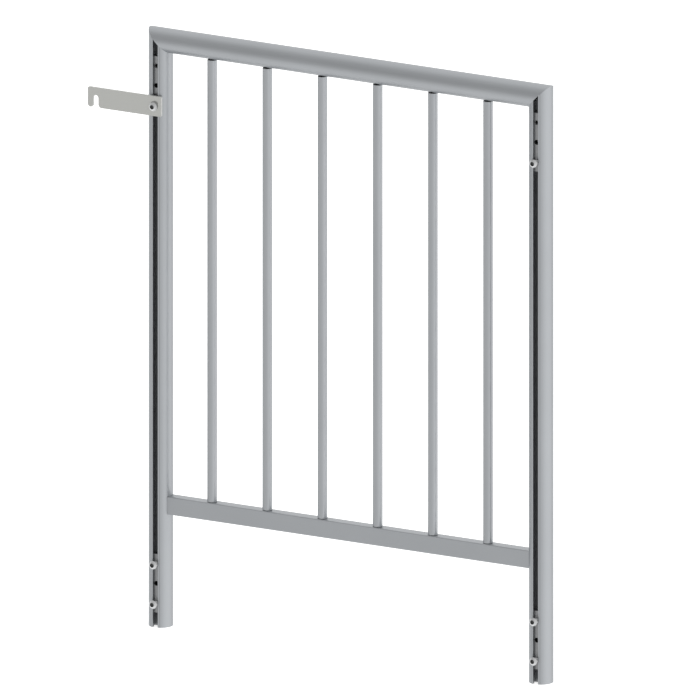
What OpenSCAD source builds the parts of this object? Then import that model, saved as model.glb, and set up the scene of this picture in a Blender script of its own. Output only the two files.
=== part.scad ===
// Livestock pen panel: a slotted-tube frame with six upright bars and a swinging hook plate.
// The origin is on the left post's axis at the floor. +X runs along the panel, -Y is its slotted front.

/* [Panel] */
// Width over the two posts
panel_w = 750; // [500:10:1200]
// Height from the feet to the top of the rail
panel_h = 1000; // [700:10:1300]

/* [Slotted tube] */
// Outer diameter of the posts and the top rail
tube_d = 40; // [38:0.5:50]
// Thickness of the round wall
tube_wall = 2.5; // [2:0.1:3.5]
// Depth of the lips, from the tube's front line to the channel
lip_depth = 5.5; // [3:0.1:6.5]
// Radius on the outer edges of the lips
lip_round = 1.5; // [0.5:0.1:1.8]
// Width of the channel behind the lips
channel_w = 17; // [15:0.1:19]
// Thickness of the channel's side walls and floor
channel_wall = 2; // [1.5:0.1:2.5]

/* [Bars] */
// Number of upright bars
bar_count = 6; // [3:1:7]
// Outer diameter of a bar
bar_d = 16; // [14:0.5:19]
// Wall of a bar
bar_wall = 1.5; // [1:0.1:2]
// Left post's axis to the first bar's axis
bar_inset_left = 95.8; // [60:0.1:130]
// Last bar's axis to the right post's axis
bar_inset_right = 99.2; // [60:0.1:130]
// Gap between a bar's open top and the rail above it
bar_top_gap = 1; // [0.5:0.1:3]

/* [Lower rail] */
// Height of the rail's underside above the floor
lower_rail_z = 189; // [150:1:300]
// Height of the rectangular tube
lower_rail_h = 30; // [24:1:50]
// Depth of the rectangular tube, front to back
lower_rail_t = 20; // [17:0.5:24]
// Wall of the rectangular tube
lower_rail_wall = 2; // [1.5:0.1:3]
// Radius on the rectangular tube's outer edges
lower_rail_round = 1.5; // [0.5:0.1:2.5]
// Rail's end to the channel's wall inside each post
lower_rail_end_gap = 1.5; // [0.5:0.1:3]

/* [Nut bars] */
// Length of a nut bar
nut_bar_len = 98; // [85:1:130]
// Thickness of a nut bar, front to back
nut_bar_t = 8; // [6:0.1:9.6]
// Distance between a nut bar's holes
hole_pitch = 33; // [25:0.5:40]
// Thread's bite in a nut bar's holes, on the radius
nut_bite = 0.6; // [0.3:0.05:0.8]
// Panel's top to the middle hole of the upper nut bars
upper_fix_drop = 94; // [85:1:200]
// Floor to the middle hole of the lower nut bars
lower_fix_z = 72.7; // [66:0.1:90]

/* [Screws] */
// Thread diameter of the button-head and grub screws
screw_d = 8; // [7:0.1:8.4]
// Diameter of a button head
head_d = 14; // [12:0.5:17]
// Height of a button head
head_h = 4.4; // [3.5:0.1:5.3]
// Hexagon socket of a button head, across its flats
head_hex = 6; // [4:0.5:7]
// Depth of a button head's socket
head_hex_depth = 3; // [2:0.1:3.5]
// Length of a grub screw
grub_len = 8; // [6:0.5:12]
// Hexagon socket of a grub screw, across its flats
grub_hex = 4; // [3:0.5:5]
// Depth of a grub screw's socket
grub_hex_depth = 4; // [3:0.5:5]
// Chamfer on a screw's point
point_chamfer = 0.8; // [0.4:0.1:1.2]

/* [Hook plate] */
// Pivot to the plate's free end
hook_reach = 122.5; // [90:0.5:150]
// Pivot to the plate's short end
hook_tail = 14.4; // [12:0.1:20]
// Height of the plate
hook_h = 33.5; // [26:0.5:40]
// Thickness of the plate
hook_t = 4; // [3:0.1:5]
// Width of the prong past the hook's slot
hook_prong = 10.1; // [8:0.1:14]
// How far the pivot lies below the plate's middle line
pivot_drop = 0.9; // [0:0.1:3]
// Radius on the plate's plain corners
hook_round = 2.5; // [1:0.1:4]
// Radius on the lead-in corner of the hook's slot
hook_lead_round = 6; // [3:0.1:8]
// Diameter of the washer under the hook's screw
washer_d = 15; // [14.5:0.1:19]
// Thickness of that washer
washer_t = 1.6; // [1.2:0.1:2]

/* [Inner fixings] */
// Thread diameter of the studs and screws that hold the bars
bar_screw_d = 6; // [5:0.1:7]
// Their thread's bite in the plugs and sliding nuts, on the radius
bar_bite = 0.5; // [0.3:0.05:0.7]
// Head diameter of a bar's foot screw
foot_head_d = 10.5; // [9:0.1:12]
// Head height of a bar's foot screw
foot_head_h = 3.3; // [2.6:0.1:4]
// Hexagon socket of a foot screw, across its flats
foot_hex = 4; // [3:0.5:4.5]
// Length of a bar's foot screw under its head
foot_screw_len = 16; // [12:1:18]
// Length of the plugs in a bar's ends
plug_len = 18; // [16:1:26]
// How deep the upper plug sits below the bar's mouth
top_plug_sink = 12; // [6:1:20]
// Length of a sliding nut in the top rail
rail_nut_len = 20; // [14:1:26]
// Thickness of a sliding nut in the top rail
rail_nut_t = 6; // [4:0.5:8]
// Length of each leg of a corner cleat
cleat_leg = 60; // [40:1:90]

/* [Clearances] */
// Screw to the lips of the tube's slot, each side
slot_play = 0.3; // [0.2:0.1:1.2]
// Catch screw to the sides of the hook's slot, each side
catch_play = 0.85; // [0.5:0.05:2]
// Foot screw's head to its access hole, on the radius
access_play = 1.25; // [1:0.05:2]
// Nut bar to the lips in front of it
nut_front_play = 0.1; // [0.05:0.05:0.3]
// Nut bar to the channel's floor behind it
nut_back_play = 0.9; // [0.4:0.1:1.5]
// Nut to the channel, each side
nut_side_play = 0.5; // [0.2:0.1:0.8]
// Screw point to the channel's floor
point_play = 0.4; // [0.1:0.1:0.8]
// Hook plate to the tube's front line
hook_play = 0.3; // [0.2:0.1:0.8]
// Pivot hole to the hook's screw, on the radius
pivot_play = 0.08; // [0.02:0.02:0.1]
// Washer to its screw, on the radius
washer_play = 0.2; // [0.1:0.1:0.5]
// Lower rail to its pockets in the posts, all round
pocket_play = 0.15; // [0.05:0.05:0.4]
// Plug to the bar's bore, on the radius
plug_play = 0.05; // [0.02:0.01:0.1]
// Foot screw to its hole in the lower rail, on the radius
foot_hole_play = 0.3; // [0.1:0.1:0.6]
// Shadow gap between a bar's foot and the lower rail
foot_gap = 0.6; // [0.3:0.1:1]
// Corner cleat to the tubes round it
cleat_play = 0.5; // [0.2:0.1:0.8]

/* [Hidden] */
$fn = 64;
eps = 1;

tube_r = tube_d / 2;
inner_r = tube_r - tube_wall;
slot_mouth = screw_d + 2 * slot_play;
channel_block_w = channel_w + 2 * channel_wall;
channel_depth = nut_front_play + nut_bar_t + nut_back_play;
post_span = panel_w - tube_d;
top_rail_z = panel_h - tube_r;
channel_floor = tube_r - lip_depth - channel_depth;
hollow_front = channel_floor - channel_wall;

bar_pitch = (post_span - bar_inset_left - bar_inset_right) / (bar_count - 1);
bar_bore_r = bar_d / 2 - bar_wall;
lower_rail_plug = tube_r - channel_block_w / 2 - lower_rail_end_gap;
lower_rail_top = lower_rail_z + lower_rail_h;
bar_tapped_d = bar_screw_d - 2 * bar_bite;
bar_foot_z = lower_rail_top + foot_gap;
bar_top_z = panel_h - tube_d - bar_top_gap;
top_plug_z = bar_top_z - top_plug_sink;
rail_nut_z = top_rail_z - tube_r + lip_depth;

upper_fix_z = panel_h - upper_fix_drop;
nut_front = tube_r - lip_depth - nut_front_play;
nut_w = channel_w - 2 * nut_side_play;
plate_back = tube_r + hook_play;
head_seat = plate_back + hook_t + washer_t;
point_y = channel_floor + point_play;
screw_len = head_seat - point_y;
tapped_d = screw_d - 2 * nut_bite;
hook_z = upper_fix_z - hole_pitch;
hook_slot_w = screw_d + 2 * catch_play;
hook_slot_x = hook_reach - hook_prong - hook_slot_w / 2;

cleat_near = hollow_front - cleat_play;
cleat_far = inner_r / 2;
cleat_back = sqrt(pow(inner_r - cleat_play, 2) - pow(cleat_far, 2));

tube_grey = [0.68, 0.70, 0.72];
bar_grey = [0.66, 0.68, 0.70];
zinc = [0.78, 0.79, 0.76];
steel = [0.60, 0.61, 0.62];
bright_steel = [0.85, 0.86, 0.87];
dark_steel = [0.20, 0.20, 0.21];

BARS = [for (i = [1:bar_count]) str("bar_", i)];

// ---- Shared shapes ----

// What is cut away to round one outer corner, its tip at the origin, pointing to -X and -Y
module corner_cut(r) {
    difference() {
        translate([-eps, -eps])
            square(r + eps);
        translate([r, r])
            circle(r = r);
    }
}

// A square-based rectangle about the origin with all four corners rounded
module rounded_rectangle(w, h, r) {
    difference() {
        square([w, h], center = true);
        for (mx = [0, 1], my = [0, 1])
            mirror([mx, 0])
                mirror([0, my])
                    translate([-w / 2, -h / 2])
                        corner_cut(r);
    }
}

// The slot's mouth, with its outer edges rounded into the tube
module mouth_outline() {
    reach = tube_r + eps;
    round_x = slot_mouth / 2 + lip_round;
    round_y = -sqrt(pow(tube_r - lip_round, 2) - pow(round_x, 2));
    translate([-slot_mouth / 2, -reach])
        square([slot_mouth, lip_depth + 2 * eps]);
    for (mx = [0, 1])
        mirror([mx, 0])
            difference() {
                polygon([
                    [0, round_y],
                    [round_x, round_y],
                    [round_x, round_y] * reach / (tube_r - lip_round),
                    [0, -reach],
                ]);
                translate([round_x, round_y])
                    circle(r = lip_round);
            }
}

// Cross-section of the slotted tube, with its slot towards -Y
module slotted_tube_outline() {
    difference() {
        union() {
            difference() {
                circle(r = tube_r);
                circle(r = inner_r);
            }
            intersection() {
                circle(r = tube_r);
                translate([-channel_block_w / 2, -tube_r])
                    square([channel_block_w, tube_r - hollow_front]);
            }
        }
        translate([-channel_w / 2, lip_depth - tube_r])
            square([channel_w, channel_depth]);
        mouth_outline();
    }
}

// The half space past one corner's mitre plane: outer side up, or down for the rail's cut
module mitre_block(up) {
    size = 4 * tube_d;
    translate([0, 0, top_rail_z])
        rotate([0, 45, 0])
            translate([-size / 2, -size / 2, up ? 0 : -size])
                cube(size);
}

// Cross-section of the lower rail, grown all round for its pockets
module lower_rail_outline(grow = 0) {
    rounded_rectangle(lower_rail_t + 2 * grow, lower_rail_h + 2 * grow, lower_rail_round + grow);
}

// Turns an outline's X to Y and its Y to Z, and draws it out along +X
module along_x(length) {
    rotate([90, 0, 90])
        linear_extrude(length)
            children();
}

// Hexagon socket that opens towards +Z at the origin
module hex_socket(flats, depth) {
    translate([0, 0, -depth])
        cylinder(d = flats / cos(30), h = depth + eps, $fn = 6);
}

// Plain shank with a chamfered point, from the origin down to -Z
module shank(d, length) {
    translate([0, 0, point_chamfer - length])
        cylinder(d = d, h = length - point_chamfer);
    translate([0, 0, -length])
        cylinder(d1 = d - 2 * point_chamfer, d2 = d, h = point_chamfer);
}

// Button-head screw with its head's seat at the origin and its head towards +Z
module button_screw(d, length, cap_d, cap_h, flats, socket) {
    cap_r = (pow(cap_d / 2, 2) + pow(cap_h, 2)) / (2 * cap_h);
    difference() {
        union() {
            shank(d, length);
            intersection() {
                translate([0, 0, cap_h - cap_r])
                    sphere(r = cap_r);
                cylinder(d = cap_d, h = cap_h);
            }
        }
        translate([0, 0, cap_h])
            hex_socket(flats, socket);
    }
}

// Stands what follows on the front: its +Z turns to -Y, at the given place
module facing_front(x, y, z) {
    translate([x, -y, z])
        rotate([90, 0, 0])
            children();
}

// ---- Frame ----

// A post with its mitred top and its pocket for the lower rail, with the panel towards +X
module post_shape() {
    difference() {
        linear_extrude(panel_h)
            slotted_tube_outline();
        mitre_block(up = true);
        translate([tube_r - lower_rail_plug - pocket_play, 0, lower_rail_z + lower_rail_h / 2])
            along_x(lower_rail_plug + pocket_play + eps)
                lower_rail_outline(pocket_play);
    }
}

module left_post() {
    color(tube_grey)
        post_shape();
}

module right_post() {
    color(tube_grey)
        translate([post_span, 0, 0])
            mirror([1, 0, 0])
                post_shape();
}

// Top rail, its slot facing down, mitred to both posts
module top_rail() {
    color(tube_grey)
        difference() {
            translate([-tube_r, 0, top_rail_z])
                along_x(panel_w)
                    slotted_tube_outline();
            mitre_block(up = false);
            translate([post_span, 0, 0])
                mirror([1, 0, 0])
                    mitre_block(up = false);
        }
}

// Lower rail with a hole under each bar and an access hole below it
module lower_rail() {
    hole_d = bar_screw_d + 2 * foot_hole_play;
    access_d = foot_head_d + 2 * access_play;
    color(tube_grey)
        difference() {
            translate([tube_r - lower_rail_plug, 0, lower_rail_z + lower_rail_h / 2])
                along_x(post_span - tube_d + 2 * lower_rail_plug)
                    difference() {
                        lower_rail_outline();
                        square([lower_rail_t - 2 * lower_rail_wall, lower_rail_h - 2 * lower_rail_wall],
                               center = true);
                    }
            at_bars() {
                translate([0, 0, lower_rail_top - lower_rail_wall - eps])
                    cylinder(d = hole_d, h = lower_rail_wall + 2 * eps);
                translate([0, 0, lower_rail_z - eps])
                    cylinder(d = access_d, h = lower_rail_wall + 2 * eps);
            }
        }
}

// L-shaped cleat in the back hollows of a post and the top rail
module corner_cleat_shape() {
    cleat_w = cleat_near + cleat_far;
    cleat_t = cleat_near + cleat_back;
    translate([-cleat_far, -cleat_near, top_rail_z + cleat_far - cleat_leg])
        cube([cleat_w, cleat_t, cleat_leg]);
    translate([-cleat_far, -cleat_near, top_rail_z - cleat_near])
        cube([cleat_leg, cleat_t, cleat_w]);
}

module corner_cleat_left() {
    color(bar_grey)
        corner_cleat_shape();
}

module corner_cleat_right() {
    color(bar_grey)
        translate([post_span, 0, 0])
            mirror([1, 0, 0])
                corner_cleat_shape();
}

// ---- Bars and what holds them ----

function bar_x(i) = bar_inset_left + (i - 1) * bar_pitch;

// Repeats what follows on every bar's axis
module at_bars() {
    for (i = [1:bar_count])
        translate([bar_x(i), 0, 0])
            children();
}

module bar(i) {
    color(bar_grey)
        translate([bar_x(i), 0, bar_foot_z])
            difference() {
                cylinder(d = bar_d, h = bar_top_z - bar_foot_z);
                translate([0, 0, -eps])
                    cylinder(r = bar_bore_r, h = bar_top_z - bar_foot_z + 2 * eps);
            }
}

// Plug in a bar's foot, its flange keeping the bar just clear of the rail
module bar_foot_plugs() {
    flange_r = bar_bore_r + bar_wall / 2;
    color(steel)
        at_bars()
            translate([0, 0, lower_rail_top])
                difference() {
                    union() {
                        cylinder(r = flange_r, h = foot_gap);
                        cylinder(r = bar_bore_r - plug_play, h = foot_gap + plug_len);
                    }
                    translate([0, 0, -eps])
                        cylinder(d = bar_tapped_d, h = foot_gap + plug_len + 2 * eps);
                }
}

// Screws inside the lower rail, up through its top wall into the foot plugs
module bar_foot_screws() {
    color(steel)
        at_bars()
            translate([0, 0, lower_rail_top - lower_rail_wall])
                mirror([0, 0, 1])
                    button_screw(bar_screw_d, foot_screw_len, foot_head_d, foot_head_h,
                                 foot_hex, foot_head_h / 2);
}

// Tapped plug sunk in a bar's open top
module bar_top_plugs() {
    color(steel)
        at_bars()
            translate([0, 0, top_plug_z - plug_len])
                difference() {
                    cylinder(r = bar_bore_r - plug_play, h = plug_len);
                    translate([0, 0, -eps])
                        cylinder(d = bar_tapped_d, h = plug_len + 2 * eps);
                }
}

// Studs from the top plugs up through the rail's mouth into the sliding nuts
module bar_top_studs() {
    stud_bottom = top_plug_z - plug_len + point_chamfer;
    stud_top = rail_nut_z + rail_nut_t;
    color(dark_steel)
        at_bars()
            translate([0, 0, stud_top])
                shank(bar_screw_d, stud_top - stud_bottom);
}

// Nuts in the top rail's channel, lying on the back of its lips
module rail_sliding_nuts() {
    color(steel)
        at_bars()
            translate([-rail_nut_len / 2, -nut_w / 2, rail_nut_z])
                difference() {
                    cube([rail_nut_len, nut_w, rail_nut_t]);
                    translate([rail_nut_len / 2, nut_w / 2, -eps])
                        cylinder(d = bar_tapped_d, h = rail_nut_t + 2 * eps);
                }
}

// ---- Nut bars and screws in the posts' slots ----

// Nut bar in a post's channel, its middle hole at the given height
module nut_bar(x, z) {
    color(steel)
        facing_front(x, nut_front, z)
            difference() {
                translate([-nut_w / 2, -nut_bar_len / 2, -nut_bar_t])
                    cube([nut_w, nut_bar_len, nut_bar_t]);
                for (row = [-1:1])
                    translate([0, row * hole_pitch, -nut_bar_t - eps])
                        cylinder(d = tapped_d, h = nut_bar_t + 2 * eps);
            }
}

// Button-head screw that stands off the tube by a hook plate and its washer
module standoff_screw(x, z) {
    color(bright_steel)
        facing_front(x, head_seat, z)
            button_screw(screw_d, screw_len, head_d, head_h, head_hex, head_hex_depth);
}

// Headless screw that jams a nut bar in its channel
module grub_screw(x, z) {
    color(steel)
        facing_front(x, point_y + grub_len, z)
            difference() {
                shank(screw_d, grub_len);
                hex_socket(grub_hex, grub_hex_depth);
            }
}

// ---- Hook ----

// Outline of the hook plate about its pivot, with X towards the panel and Y up
module hook_outline() {
    slot_r = hook_slot_w / 2;
    low = pivot_drop - hook_h / 2;
    difference() {
        translate([-hook_reach, low])
            square([hook_reach + hook_tail, hook_h]);
        translate([-hook_slot_x, 0])
            circle(r = slot_r);
        translate([-hook_slot_x - slot_r, low - eps])
            square([hook_slot_w, eps - low]);
        translate([-hook_reach, low])
            corner_cut(hook_prong / 2);
        translate([-hook_slot_x - slot_r, low])
            mirror([1, 0])
                corner_cut(hook_prong / 2);
        translate([-hook_slot_x + slot_r, low])
            corner_cut(hook_lead_round);
        translate([-hook_reach, low + hook_h])
            mirror([0, 1])
                corner_cut(hook_round);
        translate([hook_tail, pivot_drop])
            for (my = [0, 1])
                mirror([0, my])
                    translate([0, -hook_h / 2])
                        mirror([1, 0])
                            corner_cut(hook_round);
        circle(d = screw_d + 2 * pivot_play);
    }
}

module hook_plate() {
    color(zinc)
        facing_front(0, plate_back, hook_z)
            linear_extrude(hook_t)
                hook_outline();
}

module hook_washer() {
    color(bright_steel)
        facing_front(0, plate_back + hook_t, hook_z)
            difference() {
                cylinder(d = washer_d, h = washer_t);
                translate([0, 0, -eps])
                    cylinder(d = screw_d + 2 * washer_play, h = washer_t + 2 * eps);
            }
}

// ---- Assembly ----

left_post();
right_post();
top_rail();
lower_rail();
corner_cleat_left();
corner_cleat_right();
nut_bar(0, upper_fix_z);  // nut_bar_top_left
nut_bar(post_span, upper_fix_z);  // nut_bar_top_right
nut_bar(0, lower_fix_z);  // nut_bar_bottom_left
nut_bar(post_span, lower_fix_z);  // nut_bar_bottom_right
grub_screw(0, upper_fix_z + hole_pitch);  // grub_screw_top_left
grub_screw(post_span, upper_fix_z + hole_pitch);  // grub_screw_top_right
standoff_screw(post_span, hook_z);  // catch_screw_top_right
standoff_screw(0, lower_fix_z + hole_pitch);  // fixing_screw_left_upper
standoff_screw(0, lower_fix_z - hole_pitch);  // fixing_screw_left_lower
standoff_screw(post_span, lower_fix_z + hole_pitch);  // fixing_screw_right_upper
standoff_screw(post_span, lower_fix_z - hole_pitch);  // fixing_screw_right_lower
hook_plate();
standoff_screw(0, hook_z);  // hook_screw
hook_washer();
rail_sliding_nuts();
bar_top_studs();
bar_top_plugs();
bar_foot_plugs();
bar_foot_screws();
for (i = [1:bar_count])
    bar(i);
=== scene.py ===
"""Looks of a livestock pen panel: slotted-tube frame, bars, nut bars, screws and a hook plate.

Every class builds one sub-assembly in the row frame, in metres: +X along the panel, +Z up, and the
slotted front towards -Y. Sizes are dataclass fields in millimetres, and places come from the frame.
"""

import logging
import math
from dataclasses import dataclass, field
from enum import Enum
from typing import Any, Callable, Optional, Sequence

import bmesh
import bpy
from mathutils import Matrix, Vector
from mathutils.geometry import tessellate_polygon

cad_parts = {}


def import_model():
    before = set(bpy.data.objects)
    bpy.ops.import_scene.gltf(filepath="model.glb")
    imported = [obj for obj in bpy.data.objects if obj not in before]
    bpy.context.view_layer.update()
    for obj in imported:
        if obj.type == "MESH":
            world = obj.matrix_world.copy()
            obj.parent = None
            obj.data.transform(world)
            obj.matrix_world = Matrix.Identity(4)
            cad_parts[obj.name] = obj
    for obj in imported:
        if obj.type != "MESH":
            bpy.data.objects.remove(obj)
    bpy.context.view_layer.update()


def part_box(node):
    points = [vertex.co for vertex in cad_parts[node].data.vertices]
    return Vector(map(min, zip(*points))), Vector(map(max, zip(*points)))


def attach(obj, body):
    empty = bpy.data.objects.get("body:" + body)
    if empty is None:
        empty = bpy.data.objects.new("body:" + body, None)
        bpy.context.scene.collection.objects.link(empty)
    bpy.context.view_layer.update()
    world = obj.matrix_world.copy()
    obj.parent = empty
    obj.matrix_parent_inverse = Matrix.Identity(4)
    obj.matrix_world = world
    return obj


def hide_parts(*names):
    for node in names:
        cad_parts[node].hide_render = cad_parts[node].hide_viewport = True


LOG = logging.getLogger("pen_panel")
MM = 0.001

Point = tuple[float, float]
Loop = list[Point]
Place = Callable[[float, float, float], Vector]
EndLine = Callable[[float, float], float]


class Axis(Enum):
    """The direction in which a length of metal was drawn."""

    ALONG_X = "x"
    ALONG_Y = "y"
    ALONG_Z = "z"


class Side(Enum):
    """Which post of the panel a piece belongs to."""

    LEFT = 1
    RIGHT = -1


# ---- Outlines ----


def arc(centre: Point, radius: float, start: float, end: float, steps: int) -> Loop:
    """Points along a round stretch of an outline.

    Args:
        centre: Middle of the arc, in millimetres.
        radius: Its radius, in millimetres.
        start: Angle of the first point, in degrees.
        end: Angle of the last point, in degrees.
        steps: How many straight steps the arc is split into.

    Returns:
        The points, both ends included.
    """
    points = []
    for k in range(steps + 1):
        angle = math.radians(start + (end - start) * k / steps)
        points.append((centre[0] + radius * math.cos(angle), centre[1] + radius * math.sin(angle)))
    return points


def ring_outline(centre: Point, radius: float, steps: int) -> Loop:
    """A closed circle without its repeated last point."""
    return arc(centre, radius, 0.0, 360.0, steps)[:-1]


def rounded_rectangle(width: float, height: float, radius: float, steps: int = 6) -> Loop:
    """A rectangle about the origin with round corners, anticlockwise.

    Args:
        width: Size along the first direction, in millimetres.
        height: Size along the second direction, in millimetres.
        radius: Corner radius, in millimetres.
        steps: Straight steps in each corner.

    Returns:
        The closed outline.
    """
    across, up = width / 2 - radius, height / 2 - radius
    corners = ((across, -up, -90.0), (across, up, 0.0), (-across, up, 90.0), (-across, -up, 180.0))
    outline: Loop = []
    for x, y, start in corners:
        outline += arc((x, y), radius, start, start + 90.0, steps)
    return outline


def square(height: float) -> EndLine:
    """A square end, at the same place for every point of a section."""
    return lambda u, v: height


def box_mm(node: str) -> tuple[Vector, Vector]:
    """A node's lowest and highest corners at rest, in millimetres."""
    low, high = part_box(node)
    return low / MM, high / MM


# ---- Meshes ----


class MeshBuilder:
    """Collects vertices and faces, in millimetres, and turns them into one object in metres."""

    def __init__(self, name: str) -> None:
        """Starts an empty mesh.

        Args:
            name: The piece's name.
        """
        self.name = name
        self.vertices: list[Vector] = []
        self.faces: list[tuple[int, ...]] = []
        self.inside_faces = 0

    def add_ring(self, points: Sequence[Vector]) -> list[int]:
        """Adds points and returns their indices."""
        first = len(self.vertices)
        self.vertices += list(points)
        return list(range(first, first + len(points)))

    def bridge(self, a: Sequence[int], b: Sequence[int]) -> None:
        """Joins two closed rings of the same length with quads."""
        count = len(a)
        for k in range(count):
            after = (k + 1) % count
            self.faces.append((a[k], a[after], b[after], b[k]))

    def fan(self, ring: Sequence[int], tip: int) -> None:
        """Closes a ring to one point with triangles."""
        count = len(ring)
        for k in range(count):
            self.faces.append((ring[k], ring[(k + 1) % count], tip))

    def finish(self, smooth_angle: float = 30.0) -> bpy.types.Object:
        """Makes the object, with its faces turned outwards.

        Args:
            smooth_angle: Edges sharper than this many degrees stay sharp.

        Returns:
            The new object, linked to the scene.
        """
        mesh = bpy.data.meshes.new(self.name)
        mesh.from_pydata([tuple(v * MM) for v in self.vertices], [], self.faces)
        # Faces made before a socket's end get the second finish, a painted shade.
        for face in mesh.polygons[: self.inside_faces]:
            face.material_index = 1
        work = bmesh.new()
        work.from_mesh(mesh)
        bmesh.ops.recalc_face_normals(work, faces=work.faces)
        work.to_mesh(mesh)
        work.free()
        shade(mesh, smooth_angle)
        made = bpy.data.objects.new(self.name, mesh)
        bpy.context.scene.collection.objects.link(made)
        return made


def shade(mesh: bpy.types.Mesh, smooth_angle: float = 30.0) -> None:
    """Shades a mesh smooth, with its sharper edges kept.

    Args:
        mesh: The mesh to shade.
        smooth_angle: Edges sharper than this many degrees stay sharp.
    """
    mesh.polygons.foreach_set("use_smooth", [True] * len(mesh.polygons))
    mesh.set_sharp_from_angle(angle=math.radians(smooth_angle))
    mesh.update()


def extrude(
    name: str, loops: Sequence[Loop], place: Place, start: EndLine, end: EndLine
) -> bpy.types.Object:
    """Draws a section out into a closed solid whose ends may be cut on the slant.

    Args:
        name: The piece's name.
        loops: The outer outline and then any holes, in millimetres.
        place: Turns a point of the section and its place along the length into the row frame.
        start: Where the first end lies along the length, for each point of the section.
        end: Where the other end lies.

    Returns:
        The new object.
    """
    builder = MeshBuilder(name)
    ends: tuple[list[int], list[int]] = ([], [])
    for loop in loops:
        rings = [
            builder.add_ring([place(u, v, line(u, v)) for u, v in loop]) for line in (start, end)
        ]
        builder.bridge(rings[0], rings[1])
        ends[0].extend(rings[0])
        ends[1].extend(rings[1])
    flat = [[Vector((u, v, 0.0)) for u, v in loop] for loop in loops]
    for triangle in tessellate_polygon(flat):
        for indices in ends:
            builder.faces.append(tuple(indices[k] for k in triangle))
    return builder.finish()


def revolve(
    name: str, profile: Sequence[Point], place: Place, closed: bool = False, steps: int = 64
) -> bpy.types.Object:
    """Turns a profile of (radius, height) about its axis.

    Args:
        name: The piece's name.
        profile: Radius and height of each ring, in millimetres.
        place: Turns a point about the axis and its height into the row frame.
        closed: True where the last ring joins the first, as on a tube.
        steps: Points in each ring.

    Returns:
        The new object.
    """
    builder = MeshBuilder(name)
    rings = [
        builder.add_ring([place(x, y, height) for x, y in ring_outline((0.0, 0.0), radius, steps)])
        for radius, height in profile
    ]
    for a, b in zip(rings, rings[1:]):
        builder.bridge(a, b)
    if closed:
        builder.bridge(rings[-1], rings[0])
    return builder.finish()


def applied(piece: bpy.types.Object) -> bpy.types.Object:
    """Applies a piece's modifiers to its own mesh.

    Args:
        piece: The object whose modifiers are applied.

    Returns:
        The same object.
    """
    graph = bpy.context.evaluated_depsgraph_get()
    mesh = bpy.data.meshes.new_from_object(piece.evaluated_get(graph))
    piece.modifiers.clear()
    old = piece.data
    piece.data = mesh
    bpy.data.meshes.remove(old)
    return piece


def break_edges(
    piece: bpy.types.Object, width: float, segments: int = 2, angle: float = 50.0
) -> None:
    """Takes the sharpness off a piece's edges, as deburring does.

    Args:
        piece: The object to soften.
        width: Width of the broken edge, in millimetres.
        segments: Steps across it.
        angle: Only edges sharper than this many degrees are broken.
    """
    bevel = piece.modifiers.new("edge_break", "BEVEL")
    bevel.width = width * MM
    bevel.segments = segments
    bevel.limit_method = "ANGLE"
    bevel.angle_limit = math.radians(angle)
    bevel.harden_normals = False


def even_shading(piece: bpy.types.Object) -> None:
    """Keeps flat faces flat in shading beside their rounded edges."""
    weighted = piece.modifiers.new("even_shading", "WEIGHTED_NORMAL")
    weighted.keep_sharp = True


def cut(piece: bpy.types.Object, cutters: Sequence[bpy.types.Object]) -> None:
    """Cuts solids out of a piece and removes the cutters.

    Args:
        piece: The object that is cut.
        cutters: Closed solids to take away.
    """
    for cutter in cutters:
        boolean = piece.modifiers.new("cut", "BOOLEAN")
        boolean.operation = "DIFFERENCE"
        boolean.solver = "EXACT"
        boolean.object = cutter
    applied(piece)
    for cutter in cutters:
        mesh = cutter.data
        bpy.data.objects.remove(cutter)
        bpy.data.meshes.remove(mesh)
    shade(piece.data)


def mark_inside(piece: bpy.types.Object, inside: Callable[[Vector, Vector], bool]) -> None:
    """Sets the faces that get the second finish, which paints shade in recesses and a highlight on
    the hook plate's rim.

    Args:
        piece: The object whose faces are marked.
        inside: Tells a face by its centre, in millimetres, and its normal.
    """
    for face in piece.data.polygons:
        if inside(face.center / MM, face.normal):
            face.material_index = 1


# ---- Finishes ----


NOISE_BAND = (0.3, 0.7)
FULL_BAND = (0.0, 1.0)


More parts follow.
